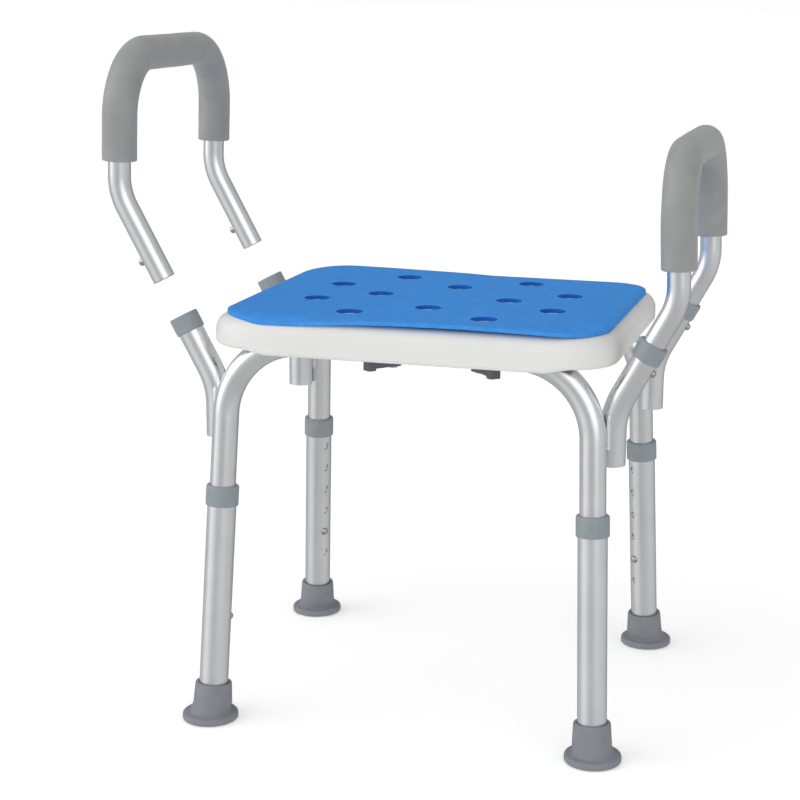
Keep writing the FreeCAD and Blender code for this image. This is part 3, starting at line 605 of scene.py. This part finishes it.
# The foot's outline as (height, radius): the sole and flange, then the hollow curve up the sleeve to its rim.
FOOT_FLANGE = ((0.0006, 0.0040), (0.0006, 0.0090), (0.0, 0.0100), (0.0, 0.0258), (0.0003, 0.0269),
               (0.0011, 0.0276), (0.0022, 0.0278), (0.0046, 0.0278), (0.0058, 0.0275), (0.0067, 0.0267),
               (0.0071, 0.0255), (0.0073, 0.0240))
FOOT_SLEEVE = ((0.0076, 0.0222), (0.0081, 0.0209), (0.0092, 0.0201), (0.0110, 0.01965), (0.0160, 0.0193),
               (0.0250, 0.0188), (0.0340, 0.0183), (0.0359, 0.0181), (0.0368, 0.0176), (0.0370, 0.0169),
               (0.0370, 0.0158), (0.0366, 0.0149), (0.0356, 0.01445), (0.0330, 0.01435))


def leg_line(corner):
    """A point on a leg's axis at floor level and the axis's upward direction."""
    up = -Vector(JOINTS[f"{corner}_leg_slide"]["axis"]).normalized()
    low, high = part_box(f"{corner}_leg_tube")
    middle = (low + high) / 2
    return middle - up * (middle.z / up.z), up


def make_foot(corner):
    floor_point, up = leg_line(corner)
    flange_centre = Vector(MOUNTS[f"{corner}_foot_sole"]["pos_m"])
    level_x, level_y = Vector((1, 0, 0)), Vector((0, 1, 0))
    lean_x = (level_x - up * level_x.dot(up)).normalized()
    lean_y = up.cross(lean_x)
    rings = []
    for height, radius in FOOT_FLANGE:
        rings.append(ring(flange_centre + Vector((0, 0, height)), level_x, level_y, radius, FOOT_TURNS))
    blend_top = FOOT_SLEEVE[4][0]
    flange_top = FOOT_FLANGE[-1][0]
    for height, radius in FOOT_SLEEVE:
        share = float(smoothstep(flange_top, blend_top, height))
        centre = (flange_centre + Vector((0, 0, height))).lerp(floor_point + up * height, share)
        axis_x = level_x.lerp(lean_x, share).normalized()
        axis_y = level_y.lerp(lean_y, share).normalized()
        rings.append(ring(centre, axis_x, axis_y, radius, FOOT_TURNS))
    vertices, faces = skin(rings)
    foot = new_piece(f"{corner}_rubber_foot", vertices, faces, f"{corner}_leg",
                     MATERIALS["foot_rubber"])
    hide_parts(f"{corner}_foot")


# ---------------------------------------------------------------- weld beads

BEAD_RADIUS = 0.0024
BEAD_OFFSET = 0.0070
BEAD_RIPPLE = 0.0016
BEAD_TURNS = 20
BEAD_RIPPLE_HEIGHT = 0.00045
BEAD_UNEVENNESS = 0.0002
BEAD_STEPS_PER_RIPPLE = 5
SOCKET_BEND_START = 0.3148
SOCKET_BEND_RADIUS = 0.0762


def make_weld(corner, beads):
    """Two rippled beads in the crevices between a leg and the socket beside it."""
    side = corner.split("_")[1]
    low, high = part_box(f"{corner}_arm_socket")
    socket_x = low.x + TUBE_RADIUS if side == "right" else high.x - TUBE_RADIUS
    socket = Vector((socket_x, (low.y + high.y) / 2, 0))
    floor_point, up = leg_line(corner)
    bead_low, bead_high = (box_corner.z for box_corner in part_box("socket_weld_beads"))
    for sign in (-1, 1):
        rings = []
        steps = int((bead_high - bead_low) / BEAD_RIPPLE * BEAD_STEPS_PER_RIPPLE)
        for step in range(steps + 1):
            z = bead_low + (bead_high - bead_low) * step / steps
            leg = floor_point + up * (z / up.z)
            here = Vector((socket.x, socket.y, z))
            across = (here - leg).normalized()
            sideways = Vector((-across.y, across.x, 0)).normalized()
            drift = max(0.0, z - SOCKET_BEND_START) ** 2 / (2 * SOCKET_BEND_RADIUS)
            centre = (leg + here) / 2 + sideways * sign * BEAD_OFFSET
            centre.x += SIDES[side] * drift / 2
            end = min(z - bead_low, bead_high - z)
            taper = float(smoothstep(-0.0012, 0.004, end))
            ripple = abs(math.sin(math.pi * (z - bead_low) / BEAD_RIPPLE)) - 0.5
            radius = BEAD_RADIUS * (0.35 + 0.65 * taper) + BEAD_RIPPLE_HEIGHT * ripple * taper
            radius += BEAD_UNEVENNESS * noise.noise(Vector((z * 260, sign * 3, socket.x * 40)))
            rings.append(ring(centre, Vector((1, 0, 0)), Vector((0, 1, 0)), radius, BEAD_TURNS))
        vertices, faces = skin(rings)
        beads.append((vertices, faces))


def make_welds():
    beads = []
    for end in ENDS:
        for side in SIDES:
            make_weld(f"{end}_{side}", beads)
    vertices, faces = [], []
    for some_vertices, some_faces in beads:
        first = len(vertices)
        vertices += some_vertices
        faces += [tuple(first + i for i in face) for face in some_faces]
    welds = new_piece("weld_beads", vertices, faces, "stool", MATERIALS["weld_aluminium"])
    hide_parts("socket_weld_beads")


# ---------------------------------------------------------------- stage, light and camera

FLOOR_HALF = 60.0
FLOOR_DROP = 0.0004
FLOOR_GLOW = 0.28
BACKDROP_GLOW = 0.96
DOME_RADIUS = 40.0
CAMERA_PLACE = Vector((0.4705, -1.7986, 0.7360))
CAMERA_YAW = math.radians(13.487)
CAMERA_PITCH = math.radians(13.246)
CAMERA_ROLL = math.radians(0.881)
CAMERA_LENS = 83.13
CAMERA_SENSOR = 36.0
CAMERA_SHIFT = (-0.1004, 0.0075)


def make_camera():
    a, e, r = CAMERA_YAW, CAMERA_PITCH, CAMERA_ROLL
    forward = Vector((-math.sin(a) * math.cos(e), math.cos(a) * math.cos(e), -math.sin(e)))
    right = Vector((math.cos(a), math.sin(a), 0))
    up = right.cross(forward)
    turned_right = right * math.cos(r) + up * math.sin(r)
    turned_up = up * math.cos(r) - right * math.sin(r)
    camera = bpy.data.objects.new("camera", bpy.data.cameras.new("camera"))
    bpy.context.scene.collection.objects.link(camera)
    turn = Matrix((turned_right, turned_up, -forward)).transposed().to_4x4()
    camera.matrix_world = Matrix.Translation(CAMERA_PLACE) @ turn
    camera.data.sensor_width = CAMERA_SENSOR
    camera.data.lens = CAMERA_LENS
    camera.data.shift_x, camera.data.shift_y = CAMERA_SHIFT
    camera.data.clip_end = 200
    bpy.context.scene.camera = camera


def stage_material(name, colour, glow):
    look = Look(name, colour, 0.9)
    if glow:
        look.shader.inputs["Emission Strength"].default_value = glow
        look.shader.inputs["Emission Color"].default_value = (1, 1, 1, 1)
    look.colour_between(look.noise(2, 2), 0.995, 1.0)
    return look.material


def make_stage():
    """A pale floor, and a pale shell that only the camera sees."""
    corners = [(-FLOOR_HALF, -FLOOR_HALF, 0), (FLOOR_HALF, -FLOOR_HALF, 0), (FLOOR_HALF, FLOOR_HALF, 0),
               (-FLOOR_HALF, FLOOR_HALF, 0)]
    floor_look = stage_material("floor", (0.90, 0.90, 0.90), FLOOR_GLOW)
    floor = stage_object("floor", corners, [(0, 1, 2, 3)], floor_look)
    floor.location.z = -FLOOR_DROP
    floor.visible_glossy = False
    rings = []
    for turn in arc_steps(-math.pi / 2 + 0.05, math.pi / 2 - 0.05, 24):
        height = Vector((0, 0, DOME_RADIUS * math.sin(turn)))
        rings.append(ring(height, Vector((1, 0, 0)), Vector((0, 1, 0)), DOME_RADIUS * math.cos(turn), 48))
    vertices, faces = skin(rings)
    shell = stage_object("backdrop", vertices, faces, stage_material("backdrop", (0, 0, 0), BACKDROP_GLOW))
    shell.visible_diffuse = False
    shell.visible_glossy = False
    shell.visible_transmission = False
    shell.visible_shadow = False


def stage_object(name, vertices, faces, material):
    mesh = bpy.data.meshes.new(name)
    mesh.from_pydata([tuple(v) for v in vertices], [], faces)
    mesh.materials.append(material)
    thing = bpy.data.objects.new(name, mesh)
    bpy.context.scene.collection.objects.link(thing)
    return thing


# Studio panels as (direction, dot product where a panel starts, dot product where it is full, brightness).
# A negative brightness darkens that part of the room.
PANELS = (
    ((-0.82, -0.36, 0.42), 0.80, 0.97, 1.45),
    ((0.66, -0.78, 0.42), 0.82, 0.97, 0.85),
    ((-0.75, -0.60, -0.18), 0.80, 0.97, 0.26),
    ((0.93, -0.10, 0.0), 0.70, 0.95, 0.12),
    ((-0.15, -0.10, 1.0), 0.50, 0.88, 0.34),
    ((-0.10, 1.0, -0.10), 0.55, 0.97, -0.26),
)
ROOM_LIGHT = 0.51


def make_world():
    """An even grey room with soft panels, which give the tubes their long highlights."""
    world = bpy.data.worlds.new("studio")
    bpy.context.scene.world = world
    world.use_nodes = True
    tree = world.node_tree
    background = tree.nodes["Background"]
    direction = tree.nodes.new("ShaderNodeTexCoord").outputs["Generated"]
    total = None
    for place, low, high, brightness in PANELS:
        dot = tree.nodes.new("ShaderNodeVectorMath")
        dot.operation = "DOT_PRODUCT"
        tree.links.new(direction, dot.inputs[0])
        dot.inputs[1].default_value = Vector(place).normalized()
        fade = tree.nodes.new("ShaderNodeMapRange")
        fade.interpolation_type = "SMOOTHSTEP"
        fade.inputs["From Min"].default_value = low
        fade.inputs["From Max"].default_value = high
        fade.inputs["To Max"].default_value = brightness
        tree.links.new(dot.outputs["Value"], fade.inputs["Value"])
        if total is None:
            total = fade.outputs["Result"]
        else:
            both = tree.nodes.new("ShaderNodeMath")
            tree.links.new(total, both.inputs[0])
            tree.links.new(fade.outputs["Result"], both.inputs[1])
            total = both.outputs[0]
    room = tree.nodes.new("ShaderNodeMath")
    room.inputs[1].default_value = ROOM_LIGHT
    tree.links.new(total, room.inputs[0])
    tree.links.new(room.outputs[0], background.inputs["Strength"])
    background.inputs["Color"].default_value = (1.0, 1.0, 1.0, 1)


def make_sun(name, direction, strength, spread):
    """A broad soft light that falls evenly over the floor."""
    data = bpy.data.lights.new(name, "SUN")
    data.energy = strength
    data.angle = math.radians(spread)
    sun = bpy.data.objects.new(name, data)
    bpy.context.scene.collection.objects.link(sun)
    sun.rotation_mode = "QUATERNION"
    sun.rotation_quaternion = Vector(direction).to_track_quat("-Z", "Y")


paint_frame()
make_pad()
for one_side in SIDES:
    make_grip(one_side)
for one_end in ENDS:
    for one_side in SIDES:
        make_foot(f"{one_end}_{one_side}")
make_welds()
make_stage()
make_world()
make_sun("key", (0.30, 1.0, -0.80), 0.25, 50)
make_camera()
bpy.context.scene.view_settings.view_transform = "Standard"
